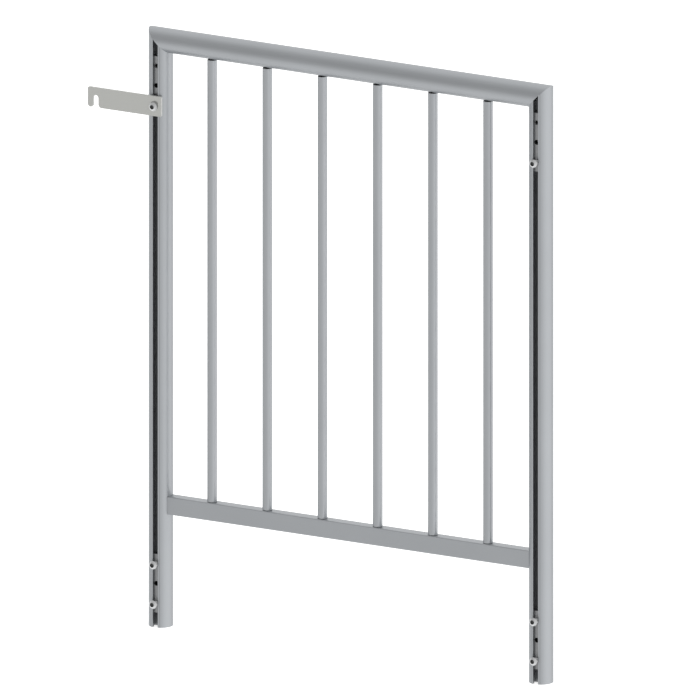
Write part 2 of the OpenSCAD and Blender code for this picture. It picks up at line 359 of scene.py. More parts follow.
class Nodes:
    """A short way to add and join the nodes of one material."""

    def __init__(self, name: str) -> None:
        """Makes a material that holds only a surface shader and its output.

        Args:
            name: The material's name.
        """
        self.material = bpy.data.materials.new(name)
        self.material.use_nodes = True
        self.tree = self.material.node_tree
        self.shader = self.tree.nodes["Principled BSDF"]

    def add(self, kind: str, **settings: Any) -> bpy.types.Node:
        """Adds a node and sets its properties.

        Args:
            kind: The node's type name.
            **settings: Properties to set on it.

        Returns:
            The new node.
        """
        made = self.tree.nodes.new(kind)
        for key, value in settings.items():
            setattr(made, key, value)
        return made

    def join(self, source: bpy.types.NodeSocket, target: bpy.types.NodeSocket) -> None:
        """Links one socket to another."""
        self.tree.links.new(source, target)

    def stretched_noise(
        self, scale: tuple[float, float, float], detail: float, rough: float
    ) -> bpy.types.Node:
        """Noise in the piece's own space, stretched along one direction.

        Args:
            scale: Features per metre along X, Y and Z.
            detail: Octaves of noise.
            rough: Strength of the finer octaves.

        Returns:
            The noise node.
        """
        coordinates = self.add("ShaderNodeTexCoord")
        mapping = self.add("ShaderNodeMapping")
        mapping.inputs["Scale"].default_value = scale
        noise = self.add("ShaderNodeTexNoise")
        noise.inputs["Scale"].default_value = 1.0
        noise.inputs["Detail"].default_value = detail
        noise.inputs["Roughness"].default_value = rough
        self.join(coordinates.outputs["Object"], mapping.inputs["Vector"])
        self.join(mapping.outputs["Vector"], noise.inputs["Vector"])
        return noise

    def ramp(
        self, source: bpy.types.NodeSocket, low: Sequence[float], high: Sequence[float]
    ) -> bpy.types.Node:
        """Turns a noise into a blend of two colours over its usual band.

        Args:
            source: The noise.
            low: Colour where it is low.
            high: Colour where it is high.

        Returns:
            The ramp node.
        """
        made = self.add("ShaderNodeValToRGB")
        for element, place, colour in zip(made.color_ramp.elements, NOISE_BAND, (low, high)):
            element.position = place
            element.color = (*colour, 1.0)
        self.join(source, made.inputs["Fac"])
        return made

    def gloss(
        self, source: bpy.types.NodeSocket, middle: float, spread: float, band: Point
    ) -> None:
        """Lets a noise vary the roughness.

        Args:
            source: The noise.
            middle: Roughness at the middle of the band.
            spread: How far the roughness lies to either side of it.
            band: The noise values that reach the two ends.
        """
        made = self.add("ShaderNodeMapRange")
        made.inputs["From Min"].default_value, made.inputs["From Max"].default_value = band
        made.inputs["To Min"].default_value = middle - spread
        made.inputs["To Max"].default_value = middle + spread
        self.join(source, made.inputs["Value"])
        self.join(made.outputs["Result"], self.shader.inputs["Roughness"])

    def bump(self, source: bpy.types.NodeSocket, strength: float, depth: float) -> None:
        """Presses a noise very lightly into the surface.

        Args:
            source: The noise.
            strength: Strength of the bump.
            depth: Its depth, in millimetres.
        """
        made = self.add("ShaderNodeBump")
        made.inputs["Strength"].default_value = strength
        made.inputs["Distance"].default_value = depth * MM
        self.join(source, made.inputs["Height"])
        self.join(made.outputs["Normal"], self.shader.inputs["Normal"])


def shades(colour: Sequence[float], spread: float) -> tuple[list[float], list[float]]:
    """A colour a little darker and a little lighter."""
    return [c * (1 - spread) for c in colour], [c * (1 + spread) for c in colour]


@dataclass(frozen=True)
class DrawnMetal:
    """Metal with fine lines along the direction in which it was drawn, rolled or extruded."""

    name: str
    colour: tuple[float, float, float]
    axis: Axis
    roughness: float
    metallic: float = 1.0
    spread: float = 0.03
    lines_per_metre: float = 2600.0
    waves_per_metre: float = 9.0
    line_depth: float = 0.03
    line_strength: float = 0.5
    along: float = 6.0
    cloud_low: float = 0.965
    roughness_spread: float = 0.05

    def build(self) -> bpy.types.Material:
        """Makes the material.

        Returns:
            Metal whose tone, gloss and bump carry the drawn lines.
        """
        nodes = Nodes(self.name)
        nodes.shader.inputs["Metallic"].default_value = self.metallic
        lines = nodes.stretched_noise(self._stretch(), 3.0, 0.6)
        waves = nodes.stretched_noise((self.waves_per_metre,) * 3, 4.0, 0.55)
        low, high = shades(self.colour, self.spread)
        tone = nodes.ramp(lines.outputs["Fac"], low, high)
        cloud = nodes.ramp(waves.outputs["Fac"], (self.cloud_low,) * 3, (1.0,) * 3)
        blend = nodes.add("ShaderNodeMix", data_type="RGBA", blend_type="MULTIPLY")
        blend.inputs["Factor"].default_value = 1.0
        nodes.join(tone.outputs["Color"], blend.inputs["A"])
        nodes.join(cloud.outputs["Color"], blend.inputs["B"])
        nodes.join(blend.outputs["Result"], nodes.shader.inputs["Base Color"])
        nodes.gloss(lines.outputs["Fac"], self.roughness, self.roughness_spread, NOISE_BAND)
        nodes.bump(lines.outputs["Fac"], self.line_strength, self.line_depth)
        return nodes.material

    def _stretch(self) -> tuple[float, float, float]:
        """The lines' scale on each axis, long along the drawing direction."""
        return tuple(self.along if axis is self.axis else self.lines_per_metre for axis in Axis)


@dataclass(frozen=True)
class MottledMetal:
    """Plated metal and the painted-shade and painted-highlight finishes, with a fine crystalline
    mottle and no direction.
    """

    name: str
    colour: tuple[float, float, float]
    roughness: float
    metallic: float = 1.0
    spread: float = 0.05
    grains_per_metre: float = 700.0
    depth: float = 0.02
    strength: float = 0.4
    roughness_spread: float = 0.06

    def build(self) -> bpy.types.Material:
        """Makes the material.

        Returns:
            Metal whose tone, gloss and bump carry the mottle.
        """
        nodes = Nodes(self.name)
        nodes.shader.inputs["Metallic"].default_value = self.metallic
        grain = nodes.stretched_noise((self.grains_per_metre,) * 3, 5.0, 0.65)
        low, high = shades(self.colour, self.spread)
        tone = nodes.ramp(grain.outputs["Fac"], low, high)
        nodes.join(tone.outputs["Color"], nodes.shader.inputs["Base Color"])
        nodes.gloss(grain.outputs["Fac"], self.roughness, self.roughness_spread, FULL_BAND)
        nodes.bump(grain.outputs["Fac"], self.strength, self.depth)
        return nodes.material


ALUMINIUM = (0.445, 0.462, 0.480)

ALL_FINISHES: tuple[DrawnMetal | MottledMetal, ...] = (
    DrawnMetal("post_aluminium", ALUMINIUM, Axis.ALONG_Z, 0.40),
    DrawnMetal("rail_aluminium", ALUMINIUM, Axis.ALONG_X, 0.40),
    DrawnMetal("bar_aluminium", ALUMINIUM, Axis.ALONG_Z, 0.38),
    DrawnMetal("box_aluminium", ALUMINIUM, Axis.ALONG_X, 0.42),
    DrawnMetal("cleat_aluminium", (0.40, 0.41, 0.42), Axis.ALONG_Y, 0.45),
    DrawnMetal("nut_steel", (0.33, 0.335, 0.34), Axis.ALONG_Z, 0.38, lines_per_metre=1800.0),
    MottledMetal("bright_steel", (0.52, 0.525, 0.53), 0.30, metallic=0.6, spread=0.02),
    MottledMetal("zinc_plate", (0.252, 0.254, 0.243), 0.42, metallic=0.1),
    # Painted highlight: a lighter finish on the hook plate's rim, where side light brightens its
    # end faces.
    MottledMetal("cut_edge_painted_highlight", (0.64, 0.645, 0.63), 0.38, metallic=0.5, grains_per_metre=1500.0),
    # Painted shade: a darker aluminium for the slot's channel and lip faces, where the recess lies
    # in shade.
    DrawnMetal("channel_painted_shade", (0.31, 0.32, 0.33), Axis.ALONG_Z, 0.5),
    # Painted shade: near-black for the inside of the screws' hex sockets, where the recess lies in
    # shade.
    MottledMetal("socket_painted_shade", (0.07, 0.071, 0.072), 0.6, metallic=0.6, spread=0.2),
    # Painted shade: near-black for the nut bars' tapped holes and countersinks and the grub screws'
    # sockets, where only shade is seen.
    MottledMetal("hole_painted_shade", (0.012, 0.012, 0.012), 0.7, metallic=0.4, spread=0.2),
    MottledMetal("inner_steel", (0.22, 0.225, 0.23), 0.42),
    # Painted shade: near-black studs, so they read as the shaded bore at the bars' open tops.
    MottledMetal("black_steel", (0.012, 0.012, 0.013), 0.5, metallic=0.3, spread=0.2),
)
FINISHES = {finish.name: finish for finish in ALL_FINISHES}


class Wardrobe:
    """Builds each finish once and puts it on pieces."""

    def __init__(self) -> None:
        """Starts with nothing built."""
        self.built: dict[str, bpy.types.Material] = {}

    def finish(self, name: str) -> bpy.types.Material:
        """Builds a finish the first time it is asked for."""
        if name not in self.built:
            self.built[name] = FINISHES[name].build()
        return self.built[name]

    def dress(self, piece: bpy.types.Object, finish: str, inside: Optional[str] = None) -> None:
        """Gives a piece its finish.

        Args:
            piece: The object to dress.
            finish: A key of FINISHES.
            inside: Another key, for the faces that carry painted shade inside a socket, hole or
                slot, and for the painted highlight on a plate's rim.
        """
        mesh = piece.data
        places = [face.material_index for face in mesh.polygons]
        mesh.materials.clear()
        mesh.materials.append(self.finish(finish))
        if inside:
            mesh.materials.append(self.finish(inside))
            mesh.polygons.foreach_set("material_index", places)


WARDROBE = Wardrobe()


def hand_over(
    piece: bpy.types.Object,
    node: str,
    body: str,
    slot: str,
    finish: str,
    inside: Optional[str] = None,
) -> None:
    """Dresses a new piece and lets it stand for a node of the frame.

    Args:
        piece: The finished object.
        node: The node that it stands for.
        body: The body that it rides on.
        slot: The record's material slot, not used.
        finish: A key of FINISHES.
        inside: Another key, for the faces that carry painted shade inside a socket, hole or slot,
            and for the painted highlight on a plate's rim.
    """
    WARDROBE.dress(piece, finish, inside)
    even_shading(piece)
    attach(piece, body)
    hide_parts(node)
    LOG.info("%s stands for %s on %s, %d faces", piece.name, node, body, len(piece.data.polygons))


# ---- Frame ----


@dataclass
class SlottedTube:
    """The round tube of the posts and the top rail, with a T-slot along one side."""

    radius: float = 20.0
    wall: float = 2.5
    mouth: float = 8.6
    lip_depth: float = 5.5
    lip_round: float = 1.5
    channel_width: float = 17.0
    channel_depth: float = 9.0
    channel_wall: float = 2.0
    round_steps: int = 132
    lip_steps: int = 10
    edge_break: float = 0.25

    def section(self) -> list[Loop]:
        """The outline with its slot towards -v, and the closed hollow behind the channel.

        Returns:
            The outer loop and the hollow's loop.
        """
        return [self._outer(), self._hollow()]

    def _outer(self) -> Loop:
        """Round the tube from one lip to the other, and then in and out of the channel."""
        lip_x = self.mouth / 2 + self.lip_round
        lip_y = -math.sqrt((self.radius - self.lip_round) ** 2 - lip_x**2)
        turn = math.degrees(math.atan2(lip_y, lip_x))
        back = self.lip_depth - self.radius
        floor = back + self.channel_depth
        half = self.channel_width / 2
        outline = arc((0.0, 0.0), self.radius, turn, 180.0 - turn, self.round_steps)
        outline += arc((-lip_x, lip_y), self.lip_round, 180.0 - turn, 360.0, self.lip_steps)[1:]
        outline += [(-self.mouth / 2, back), (-half, back), (-half, floor)]
        outline += [(half, floor), (half, back), (self.mouth / 2, back)]
        outline += arc((lip_x, lip_y), self.lip_round, 180.0, 360.0 + turn, self.lip_steps)[:-1]
        return outline

    def in_channel(self, across: float, out: float) -> bool:
        """Tells whether a place in the section lies on the channel's or the lips' inner faces,
        which get painted shade.
        """
        floor = self.lip_depth + self.channel_depth - self.radius
        front = self.lip_round - self.radius
        return abs(across) < self.channel_width / 2 + 0.1 and front < out < floor + 0.1

    def _hollow(self) -> Loop:
        """The space between the round wall and the channel's walls."""
        inner = self.radius - self.wall
        half = self.channel_width / 2 + self.channel_wall
        front = self.lip_depth + self.channel_depth + self.channel_wall - self.radius
        turn = math.degrees(math.asin(half / inner)) - 90.0
        outline = arc((0.0, 0.0), inner, turn, 180.0 - turn, self.round_steps)
        return outline + [(-half, front), (half, front)]


@dataclass
class BoxTube:
    """The rectangular tube of the lower rail."""

    depth: float = 20.0
    height: float = 30.0
    wall: float = 2.0
    corner: float = 1.5
    inner_corner: float = 0.4

    def section(self, grow: float = 0.0) -> list[Loop]:
        """The tube's two outlines, or its outer one grown all round.

        Args:
            grow: Extra size on every side, in millimetres. Any growth leaves the bore out.

        Returns:
            One loop, or two where nothing is grown.
        """
        outer = rounded_rectangle(self.depth + 2 * grow, self.height + 2 * grow, self.corner + grow)
        if grow:
            return [outer]
        across, up = self.depth - 2 * self.wall, self.height - 2 * self.wall
        return [outer, rounded_rectangle(across, up, self.inner_corner, 3)]


@dataclass
class Layout:
    """Where the panel's lines lie, in millimetres, read from the frame."""

    left_axis: float
    right_axis: float
    height: float
    rail_bottom: float
    rail_top: float
    rail_ends: tuple[float, float]
    bar_places: list[float]

    @classmethod
    def from_frame(cls) -> "Layout":
        """Reads the layout from the frame's own boxes.

        Returns:
            The layout.
        """
        left, right, rail = (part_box(n) for n in ("left_post", "right_post", "lower_rail"))
        bars = [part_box(f"bar_{k}") for k in range(1, 7)]
        return cls(
            left_axis=(left[0].x + left[1].x) / 2 / MM,
            right_axis=(right[0].x + right[1].x) / 2 / MM,
            height=left[1].z / MM,
            rail_bottom=rail[0].z / MM,
            rail_top=rail[1].z / MM,
            rail_ends=(rail[0].x / MM, rail[1].x / MM),
            bar_places=[(low.x + high.x) / 2 / MM for low, high in bars],
        )


@dataclass
class PanelFrame:
    """The two posts, the top rail and the lower rail."""

    layout: Layout
    tube: SlottedTube = field(default_factory=SlottedTube)
    box: BoxTube = field(default_factory=BoxTube)
    pocket_play: float = 0.15
    foot_hole: float = 6.6
    access_hole: float = 13.0
    past: float = 2.0

    def build(self) -> None:
        """Builds and hands over the four pieces."""
        self._post(Side.LEFT, "left_post", self.layout.left_axis)
        self._post(Side.RIGHT, "right_post", self.layout.right_axis)
        self._top_rail()
        self._lower_rail()

    def _post(self, side: Side, node: str, axis: float) -> None:
        """Builds one post, mitred at the top and pocketed for the lower rail.

        Args:
            side: Which post it is.
            node: The node that it stands for.
            axis: Its place along the panel.
        """
        corner = self.layout.height - self.tube.radius
        post = extrude(
            f"{node}_tube",
            self.tube.section(),
            lambda u, v, w: Vector((axis + u, v, w)),
            square(0.0),
            lambda u, v: corner - side.value * u,
        )
        break_edges(post, self.tube.edge_break)
        rail_end = self.layout.rail_ends[0 if side is Side.LEFT else 1]
        middle = (self.layout.rail_bottom + self.layout.rail_top) / 2
        mouth = axis + side.value * (self.tube.radius + self.past)
        reach = sorted((rail_end - side.value * self.pocket_play, mouth))
        pocket = extrude(
            f"{node}_pocket",
            self.box.section(self.pocket_play),
            lambda u, v, w: Vector((w, u, middle + v)),
            square(reach[0]),
            square(reach[1]),
        )
        cut(post, [pocket])
        in_channel = self.tube.in_channel
        # The channel's faces get the darker finish: painted shade in the slot.
        mark_inside(post, lambda at, way: abs(way.z) < 0.5 and in_channel(at.x - axis, at.y))
        hand_over(post, node, "frame", "tube", "post_aluminium", "channel_painted_shade")

    def _top_rail(self) -> None:
        """Builds the top rail, mitred at both ends, with its slot down."""
        corner = self.layout.height - self.tube.radius
        rail = extrude(
            "top_rail_tube",
            self.tube.section(),
            lambda u, v, w: Vector((w, u, corner + v)),
            lambda u, v: self.layout.left_axis - v,
            lambda u, v: self.layout.right_axis + v,
        )
        break_edges(rail, self.tube.edge_break)
        applied(rail)
        shade(rail.data)
        in_channel = self.tube.in_channel
        # The channel's faces get the darker finish: painted shade in the slot.
        mark_inside(rail, lambda at, way: abs(way.x) < 0.5 and in_channel(at.y, at.z - corner))
        hand_over(rail, "top_rail", "frame", "tube", "rail_aluminium", "channel_painted_shade")

    def _lower_rail(self) -> None:
        """Builds the lower rail with its holes above and below."""
        middle = (self.layout.rail_bottom + self.layout.rail_top) / 2
        rail = extrude(
            "lower_rail_box",
            self.box.section(),
            lambda u, v, w: Vector((w, u, middle + v)),
            square(self.layout.rail_ends[0]),
            square(self.layout.rail_ends[1]),
        )
        drills = []
        holes = (
            ("screw_drill", self.foot_hole / 2, self.layout.rail_top),
            ("access_drill", self.access_hole / 2, self.layout.rail_bottom),
        )
        for k, x in enumerate(self.layout.bar_places, 1):
            for name, radius, height in holes:
                drills.append(self._drill(f"{name}_{k}", x, radius, height))
        cut(rail, drills)
        hand_over(rail, "lower_rail", "frame", "lower_rail", "box_aluminium")

    def _drill(self, name: str, x: float, radius: float, height: float) -> bpy.types.Object:
        """A short upright rod that cuts a hole through one wall of the lower rail.

        Args:
            name: The rod's name.
            x: Its place along the panel.
            radius: The hole's radius.
            height: The middle of the rod.

        Returns:
            The rod.
        """
        return extrude(
            name,
            [ring_outline((0.0, 0.0), radius, 40)],
            lambda u, v, w: Vector((x + u, v, w)),
            square(height - 2 * self.box.wall),
            square(height + 2 * self.box.wall),
        )


@dataclass
class Bars:
    """The upright round tubes, open at the top."""

    layout: Layout
    radius: float = 8.0
    wall: float = 1.5
    chamfer: float = 0.25

    def build(self) -> None:
        """Builds and hands over every bar."""
        for k, x in enumerate(self.layout.bar_places, 1):
            low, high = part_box(f"bar_{k}")
            bar = revolve(
                f"bar_{k}_tube",
                self._profile(low.z / MM, high.z / MM),
                lambda u, v, w, x=x: Vector((x + u, v, w)),
                closed=True,
            )
            hand_over(bar, f"bar_{k}", "frame", "bar", "bar_aluminium")

    def _profile(self, foot: float, top: float) -> list[Point]:
        """The tube's wall as rings, with deburred rims.

        Args:
            foot: Height of the lower end.
            top: Height of the upper end.

        Returns:
            Radius and height of each ring, once round the wall.
        """
        bore, rim = self.radius - self.wall, self.chamfer
        outside = [(self.radius - rim, foot), (self.radius, foot + rim), (self.radius, top - rim)]
        inside = [(bore + rim, top), (bore, top - rim), (bore, foot + rim), (bore + rim, foot)]
        return outside + [(self.radius - rim, top)] + inside


# ---- Screws and nuts ----


@dataclass(frozen=True)
class Thread:
    """A metric thread on a shank."""

    major: float
    pitch: float
    steps_per_turn: int = 48
    rings_per_pitch: int = 8

    @property
    def depth(self) -> float:
        """Depth of the groove on the radius."""
        return 0.6134 * self.pitch

    def radius_at(self, angle: float, height: float) -> float:
        """The thread's radius at one place.

        Args:
            angle: Angle about the axis, in radians.
            height: Height along the axis, in millimetres.

        Returns:
            The radius, in millimetres.
        """
        turn = (height / self.pitch + angle / math.tau) % 1.0
        from_crest = abs(turn - 0.5) * 2
        groove = min(1.0, max(0.0, (from_crest - 0.125) / 0.625))
        return self.major / 2 - self.depth * groove


class TurnedPart:
    """A solid made of rings about one axis, each ring with its own outline."""

    def __init__(
        self, name: str, place: Place, steps: int = 48, builder: Optional[MeshBuilder] = None
    ) -> None:
        """Starts an empty part.

        Args:
            name: The piece's name.
            place: Turns a point about the axis and its height into the row frame.
            steps: Points in each ring.
            builder: A mesh that the part is added to, where several make one piece.
        """
        self.builder = builder or MeshBuilder(name)
        self.place = place
        self.angles = [math.tau * k / steps for k in range(steps)]
        self.last: Optional[list[int]] = None
        self.tip: Optional[int] = None

    def ring(self, radius: Callable[[float], float], height: float) -> None:
        """Adds a ring and joins it to the one before.

        Args:
            radius: Its radius at each angle, in millimetres.
            height: Its height along the axis, in millimetres.
        """
        points = [
            self.place(radius(a) * math.cos(a), radius(a) * math.sin(a), height)
            for a in self.angles
        ]
        indices = self.builder.add_ring(points)
        if self.last is not None:
            self.builder.bridge(self.last, indices)
        self.last = indices

    def circle(self, radius: float, height: float) -> None:
        """Adds a round ring."""
        self.ring(lambda angle: radius, height)

    def hexagon(self, flats: float, height: float) -> None:
        """Adds a six-sided ring of the given size across its flats."""
        sixth = math.tau / 6
        self.ring(lambda a: flats / 2 / math.cos((a % sixth) - sixth / 2), height)

    def close(self, height: float) -> None:
        """Closes the part to a point on its axis."""
        tip = self.builder.add_ring([self.place(0.0, 0.0, height)])[0]
        self.builder.fan(self.last, tip)

    def start(self, height: float) -> None:
        """Begins the part at a point on its axis, which the next ring is joined to."""
        self.tip = self.builder.add_ring([self.place(0.0, 0.0, height)])[0]

    def join_start(self) -> None:
        """Joins the ring just made to the part's first point."""
        self.builder.fan(self.last, self.tip)

    def end_socket(self) -> None:
        """Marks everything made so far as the inside of a socket, which gets a painted-shade
        finish.
        """
        self.builder.inside_faces = len(self.builder.faces)

    def thread(self, thread: Thread, top: float, bottom: float, runout: float = 0.6) -> None:
        """Adds the rings of a threaded stretch.

        Args:
            thread: The thread to cut.
            top: Height of its upper end.
            bottom: Height of its lower end.
            runout: Length at the top over which the groove fades in.
        """
        count = max(2, round((top - bottom) / thread.pitch * thread.rings_per_pitch))
        for k in range(count + 1):
            height = top + (bottom - top) * k / count
            fade = min(1.0, (top - height) / runout)
            full = thread.major / 2
            self.ring(
                lambda a, h=height, f=fade: full - (full - thread.radius_at(a, h)) * f, height
            )

    def finish(self) -> bpy.types.Object:
        """Makes the object."""
        return self.builder.finish(35.0)


@dataclass(frozen=True)
class ButtonScrew:
    """A button-head screw with a hexagon socket."""

    thread: Thread
    length: float
    head_diameter: float
    head_height: float
    flats: float
    socket_depth: float
    point: float = 0.8
    socket_lead: float = 0.25
    socket_tip: float = 0.5
    rim_round: float = 0.12
    runout: float = 0.2
    dome_steps: int = 12

    def make(self, name: str, place: Place) -> bpy.types.Object:
        """Builds the screw, its seat at height 0 and its head upwards.

        Args:
            name: The piece's name.
            place: Turns a point about the axis and its height into the row frame.

        Returns:
            The screw.
        """
        part = TurnedPart(name, place, self.thread.steps_per_turn)
        half = self.head_diameter / 2
        dome = (half**2 + self.head_height**2) / (2 * self.head_height)
        corner = self.flats / 2 / math.cos(math.tau / 12)
        rim = corner + self.socket_lead

        def dome_height(radius: float) -> float:
            """Height of the domed top at a distance from the axis."""
            return math.sqrt(dome**2 - radius**2) - dome + self.head_height

        bottom = self.head_height - self.socket_depth
        part.start(bottom - self.socket_tip)
        part.hexagon(self.flats * 0.5, bottom - self.runout)
        part.join_start()
        part.hexagon(self.flats * 0.97, bottom)
        part.hexagon(self.flats, bottom + self.rim_round)
        part.hexagon(self.flats, dome_height(rim) - self.socket_lead)
        part.circle(rim, dome_height(rim))
        # The faces made so far line the socket, which gets painted shade.
        part.end_socket()
        for k in range(1, self.dome_steps + 1):
            radius = rim + (half - self.rim_round - rim) * k / self.dome_steps
            part.circle(radius, dome_height(radius))
        part.circle(half - 0.02, self.rim_round)
        part.circle(half - self.rim_round - 0.02, 0.0)
        part.circle(self.thread.major / 2 + self.runout, 0.0)
        part.thread(self.thread, -self.runout, self.point - self.length)
        part.circle(self.thread.major / 2 - self.point, -self.length)
        part.close(-self.length)
        return part.finish()


@dataclass(frozen=True)
class GrubScrew:
    """A headless screw with a hexagon socket and a cup point."""

    thread: Thread
    length: float
    flats: float
    socket_depth: float
    point: float = 0.8
    socket_tip: float = 0.5
    edge_chamfer: float = 0.4
    mouth: float = 6.4
    mouth_depth: float = 0.8

    def make(self, name: str, place: Place) -> bpy.types.Object:
        """Builds the screw, its socket's mouth at height 0.

        Args:
            name: The piece's name.
            place: Turns a point about the axis and its height into the row frame.

        Returns:
            The screw.
        """
        part = TurnedPart(name, place, self.thread.steps_per_turn)
        part.start(-self.socket_depth - self.socket_tip)
        part.hexagon(self.flats * 0.5, -self.socket_depth - 0.2)
        part.join_start()
        part.hexagon(self.flats, -self.socket_depth)
        part.hexagon(self.flats, -self.mouth_depth)
        part.circle(self.mouth / 2, 0.0)
        # The faces made so far line the grub's socket, which gets near-black painted shade.
        part.end_socket()
        part.circle(self.thread.major / 2 - self.edge_chamfer, 0.0)
        part.thread(self.thread, -self.edge_chamfer, self.point - self.length, 0.3)
        part.circle(self.thread.major / 2 - self.point, -self.length)
        part.circle(self.thread.major / 4, -self.length)
        part.close(-self.length + self.point)
        return part.finish()


@dataclass(frozen=True)
class Stud:
    """A threaded rod with chamfered ends."""

    thread: Thread
    point: float = 0.8

    def add_to(self, builder: MeshBuilder, place: Place, length: float) -> None:
        """Adds the stud to a mesh, its top at height 0.

        Args:
            builder: The mesh.
            place: Turns a point about the axis and its height into the row frame.
            length: Its length, in millimetres.
        """
        part = TurnedPart(builder.name, place, 32, builder)
        part.start(0.0)
        part.circle(self.thread.major / 2 - self.point, 0.0)
        part.join_start()
        part.thread(self.thread, -self.point, self.point - length, 0.4)
        part.circle(self.thread.major / 2 - self.point, -length)
        part.close(-length)


def facing_front(x: float, y: float, z: float) -> Place:
    """Stands a turned part on the front, its head towards -Y.

    Args:
        x: Place along the panel, in millimetres.
        y: Distance in front of the posts' axes, in millimetres.
        z: Height, in millimetres.

    Returns:
        The place function for the part's rings.
    """
    return lambda u, v, w: Vector((x + u, -y - w, z + v))


M8 = Thread(8.0, 1.25)
M6 = Thread(6.0, 1.0, 32, 6)


@dataclass
class Fixings:
    """The nut bars in the posts' slots, and the screws in them."""

    seat: float = 25.9
    screw: ButtonScrew = ButtonScrew(M8, 20.0, 14.0, 4.4, 6.0, 3.0)
    grub: GrubScrew = GrubScrew(M8, 8.0, 4.0, 4.0)
    hole_radius: float = 3.4
    mouth_radius: float = 4.1
    hole_pitch: float = 33.0
    corner: float = 0.8
    edge_break: float = 0.45

    def build(self) -> None:
        """Builds every nut bar and screw."""
        for place, level in (("top", "upper"), ("bottom", "lower")):
            for side in ("left", "right"):
                self._nut_bar(f"nut_bar_{place}_{side}", f"{level}_{side}_fixing")
        self._screw("hook_screw", "upper_left_fixing")
        self._screw("catch_screw_top_right", "upper_right_fixing")
        for side in ("left", "right"):
            for row in ("upper", "lower"):
                self._screw(f"fixing_screw_{side}_{row}", f"lower_{side}_fixing")
        for side in ("left", "right"):
            self._screw(f"grub_screw_top_{side}", f"upper_{side}_fixing")

    def _nut_bar(self, node: str, body: str) -> None:
        """Builds one nut bar with its three holes.

        Args:
            node: The node that it stands for.
            body: The body that it rides on.
        """
        low, high = box_mm(node)
        middle = (low + high) / 2
        heights = [middle.z + row * self.hole_pitch for row in (-1, 0, 1)]
        bar = extrude(
            f"{node}_strip",
            [rounded_rectangle(high.x - low.x, high.z - low.z, self.corner, 4)],
            lambda u, v, w: Vector((middle.x + u, w, middle.z + v)),
            square(low.y),
            square(high.y),
        )
        cut(bar, [self._drill(f"{node}_drill", middle.x, low.y, high.y, z) for z in heights])

        def in_hole(at: Vector, way: Vector) -> bool:
            """Tells a face of a hole or of its countersink, which gets near-black painted shade,
            from the strip's own faces.
            """
            near = min(math.hypot(at.x - middle.x, at.z - z) for z in heights)
            return abs(way.y) < 0.9 and near < self.mouth_radius + 0.1

        mark_inside(bar, in_hole)
        break_edges(bar, self.edge_break)
        hand_over(bar, node, body, "nut_steel", "nut_steel", "hole_painted_shade")

    def _drill(self, name: str, x: float, front: float, back: float, z: float) -> bpy.types.Object:
        """The shape of one tapped hole, countersunk at both ends.

        Args:
            name: The cutter's name.
            x: The hole's place along the panel.
            front: Where the strip's front face lies.
            back: Where its back face lies.
            z: The hole's height.

        Returns:
            The cutter.
        """
        sink, past = self.mouth_radius - self.hole_radius, 1.0
        part = TurnedPart(name, facing_front(x, -front, z))
        part.start(past)
        part.circle(self.mouth_radius + past, past)
        part.join_start()
        part.circle(self.hole_radius, -sink)
        part.circle(self.hole_radius, front - back + sink)
        part.circle(self.mouth_radius + past, front - back - past)
        part.close(front - back - past)
        return part.finish()

    def _screw(self, node: str, body: str) -> None:
        """Builds one stand-off screw, or a grub screw flush with its nut bar.

        Args:
            node: The node that it stands for.
            body: The body that it rides on.
        """
        grub = node.startswith("grub")
        low, high = box_mm(node)
        out = -low.y if grub else self.seat
        place = facing_front((low.x + high.x) / 2, out, (low.z + high.z) / 2)
        made = (self.grub if grub else self.screw).make(f"{node}_threaded", place)
        # A screw's socket gets the dark painted shade.
        looks = ("screw_steel", "bright_steel", "socket_painted_shade")
        if grub:
            # A grub's socket gets the near-black painted shade.
            looks = ("nut_steel", "nut_steel", "hole_painted_shade")
        hand_over(made, node, body, *looks)


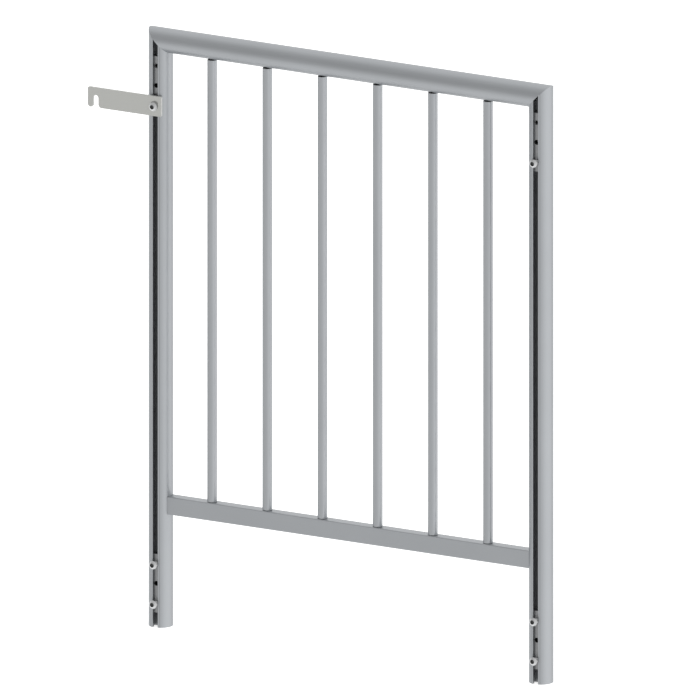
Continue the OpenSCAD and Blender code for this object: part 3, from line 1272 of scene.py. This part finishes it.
@dataclass
class Hook:
    """The hook plate and the washer under its screw."""

    reach: float = 122.5
    tail: float = 14.4
    slot_place: float = 107.55
    slot_width: float = 9.7
    pivot_drop: float = 0.9
    corner: float = 2.5
    lead_corner: float = 6.0
    pivot_radius: float = 4.08
    edge_break: float = 0.35
    washer_bore: float = 4.2
    washer_soft: float = 0.1
    washer_worn: float = 0.3

    def build(self) -> None:
        """Builds and hands over the plate and the washer."""
        self._plate()
        self._washer()

    def _outline(self, height: float) -> Loop:
        """The plate's edge about its pivot, anticlockwise.

        Args:
            height: The plate's height.

        Returns:
            The closed outline.
        """
        slot = self.slot_width / 2
        low, top = self.pivot_drop - height / 2, self.pivot_drop + height / 2
        prong = (self.reach - self.slot_place - slot) / 2
        inner, lead = -self.slot_place + slot, self.lead_corner
        right, left, corner = self.tail - self.corner, self.corner - self.reach, self.corner
        outline = arc((right, low + corner), corner, -90.0, 0.0, 8)
        outline += arc((right, top - corner), corner, 0.0, 90.0, 8)
        outline += arc((left, top - corner), corner, 90.0, 180.0, 8)
        outline += arc((prong - self.reach, low + prong), prong, 180.0, 360.0, 24)
        outline += arc((-self.slot_place, 0.0), slot, 180.0, 0.0, 24)
        outline += arc((inner + lead, low + lead), lead, 180.0, 270.0, 12)
        return outline

    def _plate(self) -> None:
        """Builds the hook plate with its edges broken."""
        low, high = box_mm("hook_plate")
        pivot_x, pivot_z = low.x + self.reach, (low.z + high.z) / 2 - self.pivot_drop
        plate = extrude(
            "hook_plate_cut",
            [self._outline(high.z - low.z), ring_outline((0.0, 0.0), self.pivot_radius, 48)],
            lambda u, v, w: Vector((pivot_x + u, w, pivot_z + v)),
            square(low.y),
            square(high.y),
        )
        # The plate's rim faces get the lighter finish: a painted highlight on its end faces.
        mark_inside(plate, lambda at, way: abs(way.y) < 0.5)
        break_edges(plate, self.edge_break, 3)
        hand_over(plate, "hook_plate", "hook", "hook_zinc", "zinc_plate", "cut_edge_painted_highlight")

    def _washer(self) -> None:
        """Builds the washer with one rounded edge, as punching leaves it."""
        low, high = box_mm("hook_washer")
        outer, thick = (high.x - low.x) / 2, high.y - low.y
        place = facing_front((low.x + high.x) / 2, -high.y, (low.z + high.z) / 2)
        bore, soft, worn = self.washer_bore, self.washer_soft, self.washer_worn
        profile = [(bore, soft), (bore + soft, 0.0), (outer - soft, 0.0), (outer, soft)]
        profile += [(outer, thick - worn), (outer - soft, thick - 0.08), (outer - worn, thick)]
        profile += [(bore + 2 * soft, thick), (bore, thick - 2 * soft)]
        washer = revolve("hook_washer_round", profile, place, closed=True)
        hand_over(washer, "hook_washer", "upper_left_fixing", "screw_steel", "bright_steel")


@dataclass
class InnerFixings:
    """What holds the bars and the mitres, mostly out of sight."""

    layout: Layout
    stud: Stud = Stud(M6)

    def build(self) -> None:
        """Threads the studs and dresses the nodes that stay as they are."""
        self._studs()
        inner = ("rail_sliding_nuts", "bar_top_plugs", "bar_foot_plugs", "bar_foot_screws")
        kept = {f"corner_cleat_{side}": ("cleat", "cleat_aluminium") for side in ("left", "right")}
        kept.update({node: ("inner_steel", "inner_steel") for node in inner})
        for node, (slot, finish) in kept.items():
            piece = bpy.data.objects[node]
            WARDROBE.dress(piece, finish)
            LOG.info("%s keeps its own shape", node)

    def _studs(self) -> None:
        """Builds the studs, one above each bar, as one piece."""
        low, high = box_mm("bar_top_studs")
        builder = MeshBuilder("bar_top_studs_threaded")
        for x in self.layout.bar_places:
            self.stud.add_to(
                builder, lambda u, v, w, x=x: Vector((x + u, v, high.z + w)), high.z - low.z
            )
        # The studs are near-black: painted shade inside the bars' tops.
        hand_over(builder.finish(35.0), "bar_top_studs", "frame", "black_steel", "black_steel")


# ---- Studio ----


@dataclass(frozen=True)
class Patch:
    """Light that rises from low to high towards one direction, from a cosine of start on."""

    azimuth: float
    elevation: float
    start: float
    low: float
    high: float


@dataclass
class Studio:
    """A pale floor, soft light from all round, a low key light and the camera."""

    azimuth: float = 30.0
    elevation: float = 15.0
    view_height: float = 1.1318
    distance: float = 4.0
    look_at: tuple[float, float, float] = (0.3531, 0.0, 0.5072)
    floor_size: float = 30.0
    floor_glow: float = 0.75
    patches: tuple[Patch, ...] = (
        Patch(190.0, 30.0, -1.0, 0.79, 0.97),
        Patch(-38.0, 26.0, 0.45, 0.0, -0.285),
        Patch(90.0, -15.0, 0.45, 0.0, 0.36),
        Patch(-35.0, -52.0, 0.4, 0.0, 0.20),
    )
    key_azimuth: float = -40.0
    key_elevation: float = -43.0
    key_strength: float = 5.6
    key_softness: float = 10.0

    def build(self) -> None:
        """Builds the camera, the light and the floor."""
        self._camera()
        self._surroundings()
        self._key()
        self._floor()
        bpy.context.scene.view_settings.view_transform = "Standard"

    def _direction(self, azimuth: float, elevation: float) -> Vector:
        """The unit vector towards a place round the object.

        Args:
            azimuth: Degrees round from the front towards +X.
            elevation: Degrees above the horizon.

        Returns:
            The direction.
        """
        a, e = math.radians(azimuth), math.radians(elevation)
        return Vector((math.sin(a) * math.cos(e), -math.cos(a) * math.cos(e), math.sin(e)))

    def _aimed(
        self, name: str, data: bpy.types.ID, back: Vector, target: Vector
    ) -> bpy.types.Object:
        """Stands a camera or a lamp back from a target and points it there.

        Args:
            name: The object's name.
            data: The camera's or the lamp's data.
            back: Unit vector from the target to the object.
            target: What it looks at.

        Returns:
            The new object.
        """
        made = bpy.data.objects.new(name, data)
        made.location = target + back * self.distance
        made.rotation_mode = "QUATERNION"
        made.rotation_quaternion = (-back).to_track_quat("-Z", "Y")
        bpy.context.scene.collection.objects.link(made)
        return made

    def _camera(self) -> None:
        """A parallel camera, as a catalogue drawing uses."""
        data = bpy.data.cameras.new("camera")
        data.type = "ORTHO"
        data.ortho_scale = self.view_height
        data.clip_end = 100.0
        back = self._direction(self.azimuth, self.elevation)
        bpy.context.scene.camera = self._aimed("camera", data, back, Vector(self.look_at))

    def _key(self) -> None:
        """A soft lamp from low at the front left, which shades the screw heads' upper right."""
        data = bpy.data.lights.new("key", "SUN")
        data.energy = self.key_strength
        data.angle = math.radians(self.key_softness)
        back = self._direction(self.key_azimuth, self.key_elevation)
        self._aimed("key", data, back, Vector(self.look_at)).visible_glossy = False

    def _surroundings(self) -> None:
        """Soft light from all round, brighter behind and with a dark patch at the front left."""
        world = bpy.data.worlds.new("soft_box")
        bpy.context.scene.world = world
        world.use_nodes = True
        tree = world.node_tree
        coordinates = tree.nodes.new("ShaderNodeTexCoord")

        level: Optional[bpy.types.NodeSocket] = None
        for patch in self.patches:
            dot = tree.nodes.new("ShaderNodeVectorMath")
            dot.operation = "DOT_PRODUCT"
            dot.inputs[1].default_value = self._direction(patch.azimuth, patch.elevation)
            spread = tree.nodes.new("ShaderNodeMapRange")
            spread.interpolation_type = "SMOOTHSTEP"
            settings = {"From Min": patch.start, "To Min": patch.low, "To Max": patch.high}
            for key, value in settings.items():
                spread.inputs[key].default_value = value
            tree.links.new(coordinates.outputs["Generated"], dot.inputs[0])
            tree.links.new(dot.outputs["Value"], spread.inputs["Value"])
            if level is None:
                level = spread.outputs["Result"]
                continue
            total = tree.nodes.new("ShaderNodeMath")
            tree.links.new(level, total.inputs[0])
            tree.links.new(spread.outputs["Result"], total.inputs[1])
            level = total.outputs["Value"]
        tree.links.new(level, tree.nodes["Background"].inputs["Color"])

    def _floor(self) -> None:
        """A plain white floor that glows as a light table does, and casts nothing on the metal."""
        half = self.floor_size / 2
        corners = [(-half, -half, 0.0), (half, -half, 0.0), (half, half, 0.0), (-half, half, 0.0)]
        mesh = bpy.data.meshes.new("floor")
        mesh.from_pydata(corners, [], [(0, 1, 2, 3)])
        floor = bpy.data.objects.new("floor", mesh)
        bpy.context.scene.collection.objects.link(floor)
        floor.visible_glossy = False
        floor.visible_diffuse = False
        floor.visible_shadow = False
        nodes = Nodes("floor_white")
        nodes.shader.inputs["Base Color"].default_value = (0.85, 0.85, 0.85, 1.0)
        nodes.shader.inputs["Roughness"].default_value = 0.9
        nodes.shader.inputs["Emission Color"].default_value = (1.0, 1.0, 1.0, 1.0)
        nodes.shader.inputs["Emission Strength"].default_value = self.floor_glow
        mesh.materials.append(nodes.material)


def main() -> None:
    """Builds the panel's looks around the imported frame."""
    logging.basicConfig(level=logging.INFO, format="%(name)s: %(message)s")
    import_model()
    Studio().build()
    layout = Layout.from_frame()
    PanelFrame(layout).build()
    Bars(layout).build()
    Fixings().build()
    Hook().build()
    InnerFixings(layout).build()


if __name__ == "__main__":
    main()
